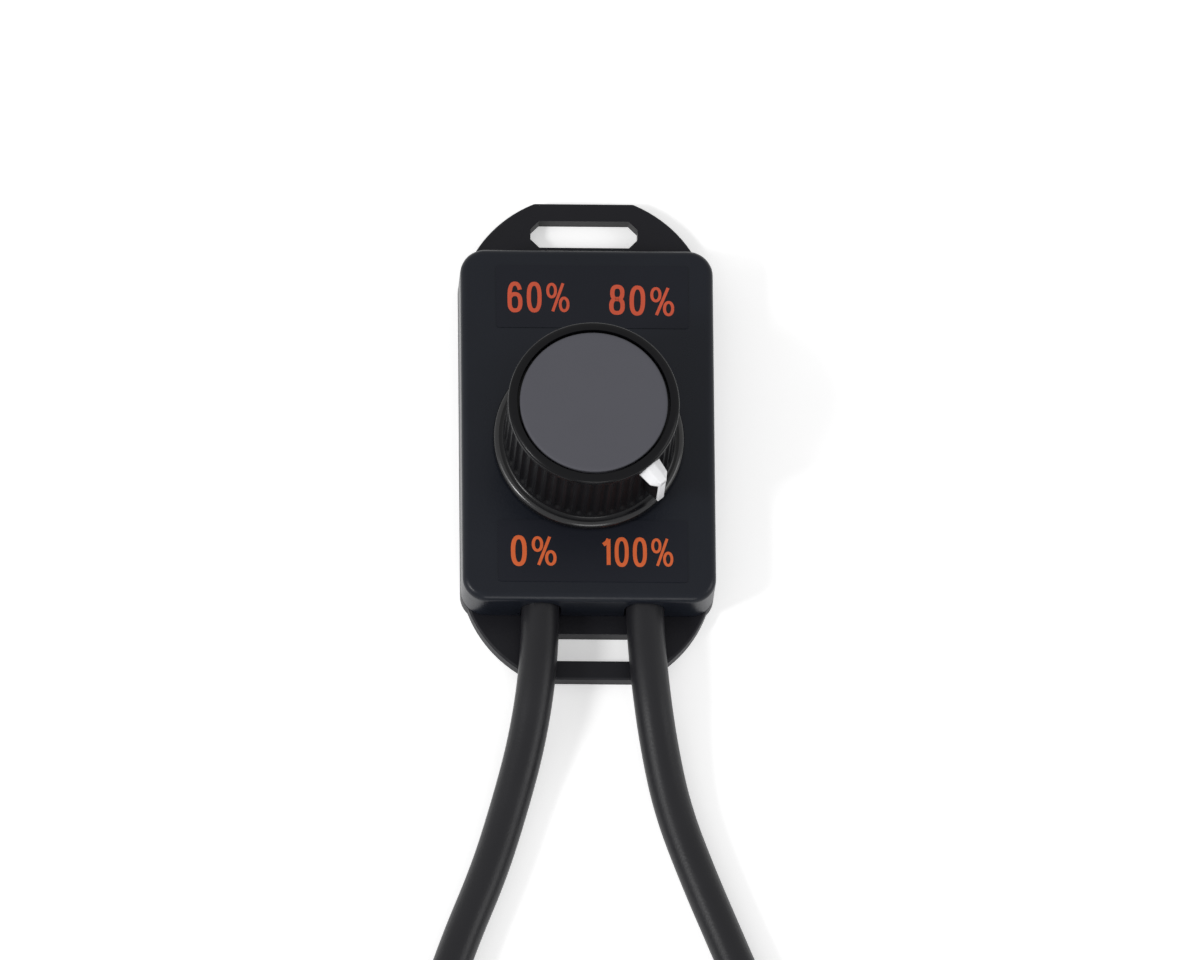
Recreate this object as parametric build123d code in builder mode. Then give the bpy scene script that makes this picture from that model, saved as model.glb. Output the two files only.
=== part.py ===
"""Flat in-line light dimmer: a turning knob on a strap-mounted box with two short leads.

Frame: millimetres, origin under the middle of the back plate, +X to the right, +Y up along the box
away from the leads, +Z out of the face towards the user. The underside of the back plate is Z = 0.
"""
from build123d import *
import math
import os

os.makedirs("parts", exist_ok=True)

# Back plate and its two strap ears
plate_length = 80.0
plate_thickness = 2.5
plate_edge = 0.4
ear_flat = 15.7
ear_corner = 1.0
end_bar = 3.0
slot_length = 17.0
slot_width = 4.5
slot_corner = 1.4
pocket_depth = 1.3
pocket_width = 24.0

# Front housing
housing_width = 40.0
housing_length = 59.0
face_height = 10.2
wall = 1.8
face_wall = 1.5
corner_radius = 4.0
edge_radius = 1.2
parting_chamfer = 0.25
rib_height = 1.0
rib_width = 1.0
rib_gap = 0.15
long_rib_length = 34.0
short_rib_length = 20.0

# Screws and their bosses
boss_radius = 2.9
boss_merge = 0.5
screw_radius = 1.1
screw_head_radius = 1.95
screw_head_height = 1.0
screw_head_gap = 0.2
screw_length = 7.0
screw_sink = 0.15
pilot_gap = 0.05
screw_slot_width = 0.6
screw_slot_depth = 0.6

# Knob
knob_y = -2.9
knob_gap = 0.45
knob_height = 17.55
skirt_ledge = 0.8
skirt_edge = 0.8
skirt_height = 1.65
skirt_chamfer = 0.3
grip_radius = 13.5
grip_start = 2.7
flute_count = 48
flute_radius = 0.62
flute_depth = 0.5
flute_top_margin = 1.3
rim_drop = 0.45
rim_slope = 1.0
rim_flat = 0.45
knob_wall = 1.6
web_thickness = 1.7
hub_radius = 5.6
knob_rib_count = 6
knob_rib_width = 1.2
cap_groove = 0.4
cap_thickness = 1.6
cap_edge = 0.3

# Pointer: a fin on the side of the knob, with a white head and nose
pointer_angle = -49.0
pointer_width = 4.2
pointer_shoulder_width = 3.5
pointer_line_width = 1.3
pointer_reach = 3.15
pointer_shoulder = 1.1
pointer_inset = 0.25
pointer_drop = 1.0
pointer_height = 8.3
pointer_thickness = 0.5
pointer_roof = 1.0
pointer_depth = 0.8
fin_slope = 1.4

# Potentiometer
pot_width = 9.8
pot_depth = 11.0
pot_case_floor = 0.8
track_thickness = 0.7
pot_cover_thickness = 0.9
pot_cavity_radius = 4.3
bushing_radius = 3.5
bushing_length = 5.0
shaft_radius = 3.0
shaft_flat = 1.5
shaft_gap = 0.05
shaft_chamfer = 0.3
shaft_flat_margin = 0.3
seat_radius = 2.0
rotor_radius = 3.2
rotor_thickness = 1.6
rotor_lift = 0.9
rotor_tab_half = 10.0
rotor_gap = 0.25
turn_angle = 280.0
contact_thickness = 0.2
contact_reach = 3.0
contact_finger_width = 0.8
track_gap = 0.05
insert_radius = 4.5
insert_bore_gap = 0.02
shaft_top_margin = 0.4
washer_radius = 5.2
washer_thickness = 0.5
nut_flats = 10.0
nut_thickness = 2.0
panel_hole_gap = 0.1
terminal_pitch = 2.5
terminal_width = 0.9
terminal_thickness = 0.3
terminal_reach = 1.4
terminal_tail = 1.0
terminal_lift = 0.2
terminal_hole = 0.6

# Circuit board and what is soldered on it
board_gap = 3.2
board_length = 34.0
board_y = 1.0
board_thickness = 1.0
board_corner = 1.0
chip_inset = 7.0
chip_y = 11.0
chip_length = 4.9
chip_width = 3.9
chip_height = 1.5
chip_lift = 0.15
chip_leg_pitch = 1.27
chip_leg_width = 0.42
chip_leg_thickness = 0.2
chip_leg_reach = 1.05
capacitor_inset = 6.0
capacitor_y = 9.0
capacitor_radius = 2.0
capacitor_length = 7.0
capacitor_edge = 0.3
capacitor_lift = 0.1
capacitor_leg_pitch = 1.5
capacitor_leg_reach = 2.0
resistor_inset = 2.6
resistor_y = -4.0
resistor_radius = 1.1
resistor_length = 6.0
resistor_lead_radius = 0.28
resistor_span = 9.0
resistor_pitch = 3.4
pad_row = 3.6

# Leads
cable_radius = 3.0
input_cable_x = -7.5
output_cable_x = 8.8
cable_z = 5.7
notch_gap = 0.15
cable_inside = 8.5
core_radius = 0.85
core_offset = 1.15
core_tip_radius = 0.5
core_tip_length = 6.0
clamp_length = 23.6
clamp_width = 4.0
clamp_inset = 2.5
clamp_clearance = 0.15
clamp_screw_spacing = 5.6
clamp_boss_radius = 2.0
clamp_screw_radius = 0.9
clamp_head_radius = 1.6
clamp_head_height = 0.8
clamp_screw_length = 5.0

# Coil of the put-away length: the left lead below, the right lead on it
coil_y = -146.0
coil_radius = 33.0
coil_lift = 0.5
coil_turn = 290.0
coil_entry = 10.0
core_turn = 24.0
lead_in = 13.0
layer_gap = 0.1
tie_thickness = 0.4
tie_width = 4.0
tie_gap = 0.1
tie_tail_length = 11.0
tie_tail_radius = 0.8

# Power transistor that chops the supply
transistor_width = 6.5
transistor_length = 6.1
transistor_height = 2.3
transistor_tab = 1.1
transistor_tab_thickness = 0.5
transistor_inset = 4.2
transistor_y = -4.0
transistor_leg_width = 0.8
transistor_leg_pitch = 4.6
transistor_leg_reach = 2.4

# Labels
label_thickness = 0.12
upper_label_width = 30.4
upper_label_height = 10.5
upper_label_x = 0.8
upper_label_y = 21.35
lower_label_width = 29.9
lower_label_height = 10.3
lower_label_x = 0.55
lower_label_y = -21.35
label_corner = 0.5

# Heights and places worked out from the sizes above
ear_radius = housing_width / 2
ear_y = plate_length / 2 - math.sqrt(ear_radius**2 - (ear_flat / 2) ** 2)
slot_y = plate_length / 2 - end_bar - slot_width / 2
ceiling = face_height - face_wall
inner_width = housing_width - 2 * wall
inner_length = housing_length - 2 * wall
boss_x = inner_width / 2 - boss_radius + boss_merge
boss_y = inner_length / 2 - boss_radius + boss_merge
boss_points = [(sx * boss_x, sy * boss_y) for sx in (-1, 1) for sy in (-1, 1)]
pocket_floor = plate_thickness - pocket_depth
knob_base = face_height + knob_gap
knob_top = knob_base + knob_height
skirt_crest_radius = grip_radius + skirt_ledge
skirt_radius = skirt_crest_radius + skirt_edge
rim_radius = grip_radius - rim_slope - rim_flat
cap_radius = rim_radius - cap_groove
cap_seat = knob_top - cap_thickness
hub_bottom = ceiling + bushing_length + 0.5
insert_top = cap_seat - web_thickness
near_wall_y = -housing_length / 2
clamp_y = near_wall_y + clamp_inset + clamp_width / 2
clamp_x = (input_cable_x + output_cable_x) / 2
clamp_points = [(clamp_x + side * clamp_screw_spacing / 2, clamp_y) for side in (-1, 1)]
clamp_top = cable_z - cable_radius
clamp_bottom = pocket_floor + clamp_clearance
board_top = plate_thickness + board_thickness
board_width = inner_width - 2 * board_gap
chip_x = chip_inset - board_width / 2
transistor_x = transistor_inset - board_width / 2
capacitor_x = board_width / 2 - capacitor_inset
resistor_x = board_width / 2 - resistor_inset


# Back plate: one moulding, a floor under the housing with an ear at each end
with BuildPart() as back_plate:
    with BuildSketch() as ears:
        with Locations((0, ear_y), (0, -ear_y)):
            Circle(ear_radius)
        Rectangle(housing_width, plate_length, mode=Mode.INTERSECT)
        Rectangle(housing_width, 2 * ear_y, mode=Mode.SUBTRACT)
        fillet(ears.vertices().filter_by(lambda v: abs(v.Y) > slot_y), ear_corner)
    extrude(amount=plate_thickness)
    fillet(back_plate.edges().group_by(Axis.Z)[-1], plate_edge)
    with BuildSketch():
        RectangleRounded(housing_width, housing_length, corner_radius)
    extrude(amount=plate_thickness)
    with BuildSketch():
        with Locations((0, slot_y), (0, -slot_y)):
            Rectangle(slot_length, slot_width)
        chamfer(vertices(), slot_corner)
    extrude(amount=plate_thickness, mode=Mode.SUBTRACT)
    with BuildSketch(Plane.XY.offset(pocket_floor)):
        with Locations((0, board_y)):
            RectangleRounded(pocket_width, board_length - 2 * wall, corner_radius)
        with Locations((0, clamp_y)):
            Rectangle(clamp_length + 2 * clamp_clearance, clamp_width + 4 * clamp_clearance)
    extrude(amount=pocket_depth, mode=Mode.SUBTRACT)
    with BuildSketch(Plane.XY.offset(plate_thickness)):
        rib_x = inner_width / 2 - rib_gap - rib_width / 2
        with Locations((rib_x, 0), (-rib_x, 0)):
            Rectangle(rib_width, long_rib_length)
        with Locations((0, inner_length / 2 - rib_gap - rib_width / 2)):
            Rectangle(short_rib_length, rib_width)
    extrude(amount=rib_height)
    with Locations(Plane.XY.rotated((180, 0, 0))):
        with Locations(boss_points):
            CounterSinkHole(
                radius=screw_radius + 2 * pilot_gap,
                counter_sink_radius=screw_head_radius + screw_head_gap,
                depth=plate_thickness,
            )
back_plate.part.label = "back_plate"
export_step(back_plate.part, "parts/back_plate.step")

# Front housing: a shallow tray with its mouth on the back plate
with BuildPart() as front_housing:
    with BuildSketch(Plane.XY.offset(plate_thickness)):
        RectangleRounded(housing_width, housing_length, corner_radius)
    extrude(amount=face_height - plate_thickness)
    fillet(front_housing.edges().group_by(Axis.Z)[-1], edge_radius)
    chamfer(front_housing.edges().group_by(Axis.Z)[0], parting_chamfer)
    with BuildSketch(Plane.XY.offset(plate_thickness)):
        RectangleRounded(inner_width, inner_length, corner_radius - wall)
    extrude(amount=ceiling - plate_thickness, mode=Mode.SUBTRACT)
    with BuildSketch(Plane.XY.offset(plate_thickness)):
        with Locations(boss_points):
            Circle(boss_radius)
    extrude(amount=ceiling - plate_thickness)
    with BuildSketch(Plane.XY.offset(clamp_top)):
        with Locations(clamp_points):
            Circle(clamp_boss_radius)
    extrude(amount=ceiling - clamp_top)
    with BuildSketch(Plane.XY.offset(plate_thickness)):
        with Locations(boss_points):
            Circle(screw_radius + pilot_gap)
    extrude(amount=screw_length - plate_thickness + 2 * screw_sink, mode=Mode.SUBTRACT)
    with BuildSketch(Plane.XY.offset(clamp_top)):
        with Locations(clamp_points):
            Circle(clamp_screw_radius + pilot_gap)
    extrude(amount=ceiling - clamp_top - pilot_gap, mode=Mode.SUBTRACT)
    with BuildSketch(Plane.XZ.offset(housing_length / 2)):
        with Locations((input_cable_x, cable_z), (output_cable_x, cable_z)):
            Circle(cable_radius + notch_gap)
            Rectangle(
                2 * (cable_radius + notch_gap),
                cable_z - plate_thickness,
                align=(Align.CENTER, Align.MAX),
            )
    extrude(amount=-wall, mode=Mode.SUBTRACT)
    with BuildSketch(Plane.XY.offset(ceiling)):
        with Locations((0, knob_y)):
            Circle(bushing_radius + panel_hole_gap)
    extrude(amount=face_wall, mode=Mode.SUBTRACT)
front_housing.part.label = "front_housing"
export_step(front_housing.part, "parts/front_housing.step")


def upright_plane(centre, turn):
    """Upright plane through a vertical axis, with its x direction out from that axis."""
    angle = math.radians(turn)
    return Plane(
        origin=centre,
        x_dir=(math.cos(angle), math.sin(angle), 0),
        z_dir=(math.sin(angle), -math.cos(angle), 0),
    )


def bend_radii(points):
    """Largest arc at each corner of a lead's route that its two runs leave room for."""
    radii = []
    for before, corner, after in zip(points, points[1:], points[2:]):
        run_in = Vector(*corner) - Vector(*before)
        run_out = Vector(*after) - Vector(*corner)
        half_turn = math.radians(run_in.get_angle(run_out)) / 2
        radii.append(0.45 * min(run_in.length, run_out.length) / math.tan(half_turn))
    return radii


def check_lead(name, part, points, radii):
    """Print a lead's bends, and its volume against its section times its length."""
    route = FilletPolyline(*points, radius=radii, mode=Mode.PRIVATE)
    section = math.pi * cable_radius**2
    print(name, "bend radii", [round(radius, 1) for radius in radii])
    print(name, "length", round(route.length, 1), "volume", round(part.volume / section / route.length, 4))


# Pointer: a sloping head with a ridge along it, and a band down the nose of the knob's fin
pointer_side = upright_plane((0, knob_y, 0), pointer_angle)
pointer_root = grip_radius - pointer_depth
pointer_nose = grip_radius + pointer_reach
pointer_top = knob_top - rim_drop - pointer_inset
nose_top = pointer_top - pointer_drop
nose_bottom = nose_top - pointer_height
head_thickness = pointer_roof + pointer_thickness
pointer_slope = math.degrees(math.atan(pointer_drop / pointer_reach))
ridge_start = Vector(0, knob_y, pointer_top) + Vector(grip_radius, 0, 0).rotate(Axis.Z, pointer_angle)
ridge_end = upright_plane(ridge_start, pointer_angle + 90).rotated((pointer_slope, 0, 0))
with BuildPart() as knob_pointer:
    with BuildSketch(pointer_side):
        with BuildLine():
            Polyline(
                (pointer_root, pointer_top),
                (grip_radius, pointer_top),
                (pointer_nose, nose_top),
                (pointer_nose, nose_bottom),
                (pointer_nose - pointer_thickness, nose_bottom),
                (pointer_nose - pointer_thickness, nose_top - head_thickness),
                (pointer_root, pointer_top - head_thickness),
                close=True,
            )
        make_face()
    extrude(amount=pointer_width, both=True)
    with BuildSketch(Plane.XY.offset(nose_bottom)):
        with Locations(Location((0, knob_y, 0), pointer_angle)):
            Polygon(
                (pointer_root, -pointer_width / 2),
                (pointer_nose - pointer_shoulder, -pointer_shoulder_width / 2),
                (pointer_nose, -pointer_line_width / 2),
                (pointer_nose, pointer_line_width / 2),
                (pointer_nose - pointer_shoulder, pointer_shoulder_width / 2),
                (pointer_root, pointer_width / 2),
                align=None,
            )
    extrude(amount=pointer_top - nose_bottom, mode=Mode.INTERSECT)
    with BuildSketch(ridge_end):
        with BuildLine():
            Polyline(
                (-pointer_line_width / 2, 0),
                (-pointer_width / 2, -pointer_roof),
                (-pointer_width / 2, -head_thickness - pointer_drop),
                (-pointer_line_width / 2, -head_thickness - pointer_drop),
                (-pointer_line_width / 2, -2 * pointer_height),
                (pointer_line_width / 2, -2 * pointer_height),
                (pointer_line_width / 2, -head_thickness - pointer_drop),
                (pointer_width / 2, -head_thickness - pointer_drop),
                (pointer_width / 2, -pointer_roof),
                (pointer_line_width / 2, 0),
                close=True,
            )
        make_face()
    extrude(amount=2 * pointer_reach, both=True, mode=Mode.INTERSECT)
knob_pointer.part.label = "knob_pointer"
export_step(knob_pointer.part, "parts/knob_pointer.step")

# Knob: fluted grip on a round skirt with the pointer's fin, hollow below, with a hub for the insert
flute_length = knob_height - grip_start - flute_top_margin - 2 * flute_radius
with BuildPart() as flute:
    with Locations((0, 0, knob_base + grip_start + flute_radius)):
        Cylinder(flute_radius, flute_length, align=(Align.CENTER, Align.CENTER, Align.MIN))
        Sphere(flute_radius)
    with Locations((0, 0, knob_base + grip_start + flute_radius + flute_length)):
        Sphere(flute_radius)

with BuildPart() as knob_body:
    with BuildSketch(Plane.XZ.offset(-knob_y)):
        with BuildLine():
            Polyline(
                (0, cap_seat),
                (0, knob_base),
                (skirt_radius - skirt_chamfer, knob_base),
                (skirt_radius, knob_base + skirt_chamfer),
                (skirt_radius, knob_base + skirt_height - skirt_edge),
            )
            RadiusArc(
                (skirt_radius, knob_base + skirt_height - skirt_edge),
                (skirt_crest_radius, knob_base + skirt_height),
                -skirt_edge,
            )
            Polyline(
                (skirt_crest_radius, knob_base + skirt_height),
                (grip_radius, knob_base + skirt_height),
                (grip_radius, knob_top - rim_drop),
                (grip_radius - rim_slope, knob_top),
                (rim_radius, knob_top),
                (rim_radius, cap_seat),
                (0, cap_seat),
            )
        make_face()
    revolve(axis=Axis((0, knob_y, 0), (0, 0, 1)))
    with Locations((0, knob_y)):
        with PolarLocations(
            grip_radius + flute_radius - flute_depth,
            flute_count,
            start_angle=pointer_angle + 180 / flute_count,
        ):
            add(flute.part, mode=Mode.SUBTRACT)
    with BuildSketch(pointer_side):
        with BuildLine():
            Polyline(
                (pointer_root, pointer_top - pointer_roof),
                (pointer_nose - pointer_thickness / 2, nose_top - pointer_roof),
                (pointer_nose - pointer_thickness / 2, nose_bottom),
                (pointer_root, nose_bottom - fin_slope),
                close=True,
            )
        make_face()
    extrude(amount=pointer_line_width / 2, both=True)
    with BuildSketch(Plane.XY.offset(knob_base)):
        with Locations((0, knob_y)):
            Circle(grip_radius - flute_depth - knob_wall)
    extrude(amount=insert_top - knob_base, mode=Mode.SUBTRACT)
    with BuildSketch(Plane.XY.offset(hub_bottom)):
        with Locations((0, knob_y)):
            Circle(hub_radius)
            with PolarLocations((grip_radius - flute_depth) / 2, knob_rib_count):
                Rectangle(grip_radius - flute_depth - knob_wall, knob_rib_width)
            Circle(insert_radius, mode=Mode.SUBTRACT)
    extrude(amount=insert_top - hub_bottom)
    add(knob_pointer.part, mode=Mode.SUBTRACT)
knob_body.part.label = "knob_body"
export_step(knob_body.part, "parts/knob_body.step")

# Cap: a separate disc let into the top of the knob, with a narrow groove round it
with BuildPart() as knob_cap:
    with BuildSketch(Plane.XY.offset(cap_seat)):
        with Locations((0, knob_y)):
            Circle(cap_radius)
    extrude(amount=cap_thickness)
    fillet(knob_cap.edges().group_by(Axis.Z)[-1], cap_edge)
knob_cap.part.label = "knob_cap"
export_step(knob_cap.part, "parts/knob_cap.step")

# Insert: a bush with a D-shaped bore, pressed into the hub of the knob
with BuildPart() as knob_insert:
    with BuildSketch(Plane.XY.offset(hub_bottom)):
        with Locations((0, knob_y)):
            Circle(insert_radius)
    extrude(amount=insert_top - hub_bottom)
    with BuildSketch(Plane.XY.offset(hub_bottom)):
        with Locations((0, knob_y)):
            Circle(shaft_radius + insert_bore_gap)
            with Locations((shaft_flat + insert_bore_gap, 0)):
                Rectangle(
                    shaft_radius,
                    2 * shaft_radius + 1,
                    align=(Align.MIN, Align.CENTER),
                    mode=Mode.SUBTRACT,
                )
    extrude(amount=insert_top - hub_bottom, mode=Mode.SUBTRACT)
knob_insert.part.label = "knob_insert"
export_step(knob_insert.part, "parts/knob_insert.step")

# Potentiometer heights, from the circuit board up
case_floor = board_top + pot_case_floor
track_top = case_floor + track_thickness
rotor_bottom = track_top + rotor_lift
rotor_top = rotor_bottom + rotor_thickness
cover_bottom = ceiling - pot_cover_thickness
stop_middle = pointer_angle + (turn_angle + 360) / 2
stop_half = (360 - turn_angle) / 2 - rotor_tab_half - math.degrees(rotor_gap / pot_cavity_radius)

# Case of the potentiometer, with the stop that ends the turn at both sides
with BuildPart() as pot_case:
    with BuildSketch(Plane.XY.offset(board_top)):
        with Locations((0, knob_y)):
            Rectangle(pot_width, pot_depth)
    extrude(amount=cover_bottom - board_top)
    with BuildSketch(Plane.XY.offset(case_floor)):
        with Locations((0, knob_y)):
            Circle(pot_cavity_radius)
    extrude(amount=cover_bottom - case_floor, mode=Mode.SUBTRACT)
    with BuildSketch(Plane.XY.offset(track_top + track_gap)):
        with Locations(Location((0, knob_y, 0), stop_middle)):
            Circle(pot_cavity_radius + 0.1)
            wedge = 2 * pot_cavity_radius * math.tan(math.radians(stop_half))
            Polygon(
                (0, 0),
                (2 * pot_cavity_radius, wedge),
                (2 * pot_cavity_radius, -wedge),
                align=None,
                mode=Mode.INTERSECT,
            )
            Circle(rotor_radius + rotor_gap, mode=Mode.SUBTRACT)
    extrude(amount=cover_bottom - track_top - track_gap)
pot_case.part.label = "pot_case"
export_step(pot_case.part, "parts/pot_case.step")

# Track: the resistive wafer on the floor of the case
with BuildPart() as pot_track:
    with BuildSketch(Plane.XY.offset(case_floor)):
        with Locations((0, knob_y)):
            Circle(pot_cavity_radius - track_gap)
            Circle(seat_radius + shaft_gap, mode=Mode.SUBTRACT)
    extrude(amount=track_thickness)
pot_track.part.label = "pot_track"
export_step(pot_track.part, "parts/pot_track.step")

# Rotor: a disc on the shaft, with the tab that meets the stop
with BuildPart() as pot_rotor:
    with BuildSketch(Plane.XY.offset(rotor_bottom)):
        with Locations(Location((0, knob_y, 0), pointer_angle)):
            Circle(pot_cavity_radius - rotor_gap)
            tab = 2 * pot_cavity_radius * math.tan(math.radians(rotor_tab_half))
            Polygon(
                (0, 0),
                (2 * pot_cavity_radius, tab),
                (2 * pot_cavity_radius, -tab),
                align=None,
                mode=Mode.INTERSECT,
            )
            Circle(rotor_radius)
            Circle(seat_radius, mode=Mode.SUBTRACT)
    extrude(amount=rotor_thickness)
pot_rotor.part.label = "pot_rotor"
export_step(pot_rotor.part, "parts/pot_rotor.step")

# Wiper: a thin metal ring under the rotor with two fingers that run on the track
with BuildPart() as pot_wiper:
    with BuildSketch(Plane.XY.offset(rotor_bottom)):
        with Locations((0, knob_y)):
            Circle(contact_reach)
            Circle(seat_radius + shaft_gap, mode=Mode.SUBTRACT)
    extrude(amount=-contact_thickness)
    with BuildSketch(Plane.XY.offset(rotor_bottom)):
        with Locations((0, knob_y)):
            with PolarLocations(contact_reach - contact_thickness, 2):
                Rectangle(2 * contact_thickness, contact_finger_width)
    extrude(amount=-(rotor_lift - track_gap))
pot_wiper.part.label = "pot_wiper"
export_step(pot_wiper.part, "parts/pot_wiper.step")

# Shaft: seated in the track, round through the bushing, flatted where the knob grips it
with BuildPart() as pot_shaft:
    with BuildSketch(Plane.XY.offset(case_floor + track_gap)):
        with Locations((0, knob_y)):
            Circle(seat_radius)
    extrude(amount=rotor_top - case_floor - track_gap)
    with BuildSketch(Plane.XY.offset(rotor_top)):
        with Locations((0, knob_y)):
            Circle(shaft_radius)
    extrude(amount=insert_top - shaft_top_margin - rotor_top)
    chamfer(pot_shaft.edges().group_by(Axis.Z)[-1], shaft_chamfer)
    with BuildSketch(Plane.XY.offset(hub_bottom - shaft_flat_margin)):
        with Locations((shaft_flat, knob_y)):
            Rectangle(shaft_radius, 2 * shaft_radius + 1, align=(Align.MIN, Align.CENTER))
    extrude(amount=insert_top - hub_bottom + shaft_flat_margin, mode=Mode.SUBTRACT)
pot_shaft.part.label = "pot_shaft"
export_step(pot_shaft.part, "parts/pot_shaft.step")

# Cover of the potentiometer with its bushing, which goes up through the face
with BuildPart() as pot_cover:
    with BuildSketch(Plane.XY.offset(cover_bottom)):
        with Locations((0, knob_y)):
            Rectangle(pot_width, pot_depth)
    extrude(amount=pot_cover_thickness)
    with BuildSketch(Plane.XY.offset(ceiling)):
        with Locations((0, knob_y)):
            Circle(bushing_radius)
    extrude(amount=bushing_length)
    chamfer(pot_cover.edges().group_by(Axis.Z)[-1], shaft_chamfer)
    with BuildSketch(Plane.XY.offset(cover_bottom)):
        with Locations((0, knob_y)):
            Circle(shaft_radius + shaft_gap)
    extrude(amount=pot_cover_thickness + bushing_length, mode=Mode.SUBTRACT)
pot_cover.part.label = "pot_cover"
export_step(pot_cover.part, "parts/pot_cover.step")

# Washer and nut that hold the bushing in the face
with BuildPart() as pot_washer:
    with BuildSketch(Plane.XY.offset(face_height)):
        with Locations((0, knob_y)):
            Circle(washer_radius)
            Circle(bushing_radius + panel_hole_gap, mode=Mode.SUBTRACT)
    extrude(amount=washer_thickness)
pot_washer.part.label = "pot_washer"
export_step(pot_washer.part, "parts/pot_washer.step")

with BuildPart() as pot_nut:
    with BuildSketch(Plane.XY.offset(face_height + washer_thickness)):
        with Locations((0, knob_y)):
            RegularPolygon(nut_flats / 2, 6, major_radius=False)
            Circle(bushing_radius + shaft_gap, mode=Mode.SUBTRACT)
    extrude(amount=nut_thickness)
pot_nut.part.label = "pot_nut"
export_step(pot_nut.part, "parts/pot_nut.step")

# Terminals: three bent strips from the side of the case down through the board
terminal_y = knob_y + pot_depth / 2
terminal_x = [-terminal_pitch, 0, terminal_pitch]
with BuildPart() as pot_terminals:
    with BuildSketch(Plane.XY.offset(board_top + terminal_lift)):
        with Locations([(x, terminal_y) for x in terminal_x]):
            Rectangle(terminal_width, terminal_reach, align=(Align.CENTER, Align.MIN))
    extrude(amount=terminal_thickness)
    with BuildSketch(Plane.XY.offset(plate_thickness - terminal_tail)):
        with Locations([(x, terminal_y + terminal_reach) for x in terminal_x]):
            Rectangle(terminal_width, terminal_thickness, align=(Align.CENTER, Align.MAX))
    extrude(amount=terminal_tail + board_thickness + terminal_lift + terminal_thickness)
pot_terminals.part.label = "pot_terminals"
export_step(pot_terminals.part, "parts/pot_terminals.step")

# Circuit board, lying on the back plate over the pocket
with BuildPart() as circuit_board:
    with BuildSketch(Plane.XY.offset(plate_thickness)):
        with Locations((0, board_y)):
            RectangleRounded(board_width, board_length, board_corner)
        with Locations([(x, terminal_y + terminal_reach - terminal_thickness / 2) for x in terminal_x]):
            Circle(terminal_hole, mode=Mode.SUBTRACT)
    extrude(amount=board_thickness)
circuit_board.part.label = "circuit_board"
export_step(circuit_board.part, "parts/circuit_board.step")

# Control chip with four bent legs on each side
chip_side = chip_width / 2
leg_y = [chip_y + (i - 1.5) * chip_leg_pitch for i in range(4)]
leg_points = [(chip_x + side * chip_side, y) for side in (-1, 1) for y in leg_y]
with BuildPart() as control_chip:
    with BuildSketch(Plane.XY.offset(board_top + chip_lift)):
        with Locations((chip_x, chip_y)):
            Rectangle(chip_width, chip_length)
    extrude(amount=chip_height)
    chamfer(control_chip.edges().group_by(Axis.Z)[-1], chip_leg_thickness)
    with BuildSketch(Plane.XY.offset(board_top)):
        with Locations([(chip_x, y) for y in leg_y]):
            Rectangle(chip_width + 2 * chip_leg_reach, chip_leg_width)
        with Locations((chip_x, chip_y)):
            Rectangle(chip_width + 2 * chip_leg_thickness, chip_length, mode=Mode.SUBTRACT)
    extrude(amount=chip_leg_thickness)
    with BuildSketch(Plane.XY.offset(board_top)):
        with Locations(leg_points):
            Rectangle(4 * chip_leg_thickness, chip_leg_width)
        with Locations((chip_x, chip_y)):
            Rectangle(chip_width, chip_length, mode=Mode.SUBTRACT)
    extrude(amount=chip_lift + chip_height / 2)
control_chip.part.label = "control_chip"
export_step(control_chip.part, "parts/control_chip.step")

# Power transistor: moulded body on a metal tab, with two legs
with BuildPart() as power_transistor:
    with BuildSketch(Plane.XY.offset(board_top)):
        with Locations((transistor_x, transistor_y)):
            Rectangle(transistor_width, transistor_length)
    extrude(amount=transistor_height)
    chamfer(power_transistor.edges().group_by(Axis.Z)[-1], chip_leg_thickness)
    with BuildSketch(Plane.XY.offset(board_top)):
        with Locations((transistor_x, transistor_y + transistor_length / 2)):
            Rectangle(transistor_width - 1, transistor_tab, align=(Align.CENTER, Align.MIN))
        with Locations((transistor_x, transistor_y - transistor_length / 2)):
            with GridLocations(transistor_leg_pitch, 1, 2, 1):
                Rectangle(
                    transistor_leg_width,
                    transistor_leg_reach,
                    align=(Align.CENTER, Align.MAX),
                )
    extrude(amount=transistor_tab_thickness)
power_transistor.part.label = "power_transistor"
export_step(power_transistor.part, "parts/power_transistor.step")

# Smoothing capacitor: a small can lying on the board, with two bent legs
can_z = board_top + capacitor_radius + capacitor_lift
with BuildPart() as smoothing_capacitor:
    with BuildSketch(Plane.XZ.offset(-capacitor_y)):
        with Locations((capacitor_x, can_z)):
            Circle(capacitor_radius)
    extrude(amount=-capacitor_length)
    fillet(smoothing_capacitor.edges().filter_by(GeomType.CIRCLE), capacitor_edge)
    for leg_x in (capacitor_x - capacitor_leg_pitch / 2, capacitor_x + capacitor_leg_pitch / 2):
        with BuildLine():
            FilletPolyline(
                (leg_x, capacitor_y, can_z),
                (leg_x, capacitor_y - capacitor_leg_reach, can_z),
                (leg_x, capacitor_y - capacitor_leg_reach, board_top),
                radius=1.0,
            )
        with BuildSketch(Plane.XZ.offset(-capacitor_y)):
            with Locations((leg_x, can_z)):
                Circle(resistor_lead_radius)
        sweep()
smoothing_capacitor.part.label = "smoothing_capacitor"
export_step(smoothing_capacitor.part, "parts/smoothing_capacitor.step")

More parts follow.
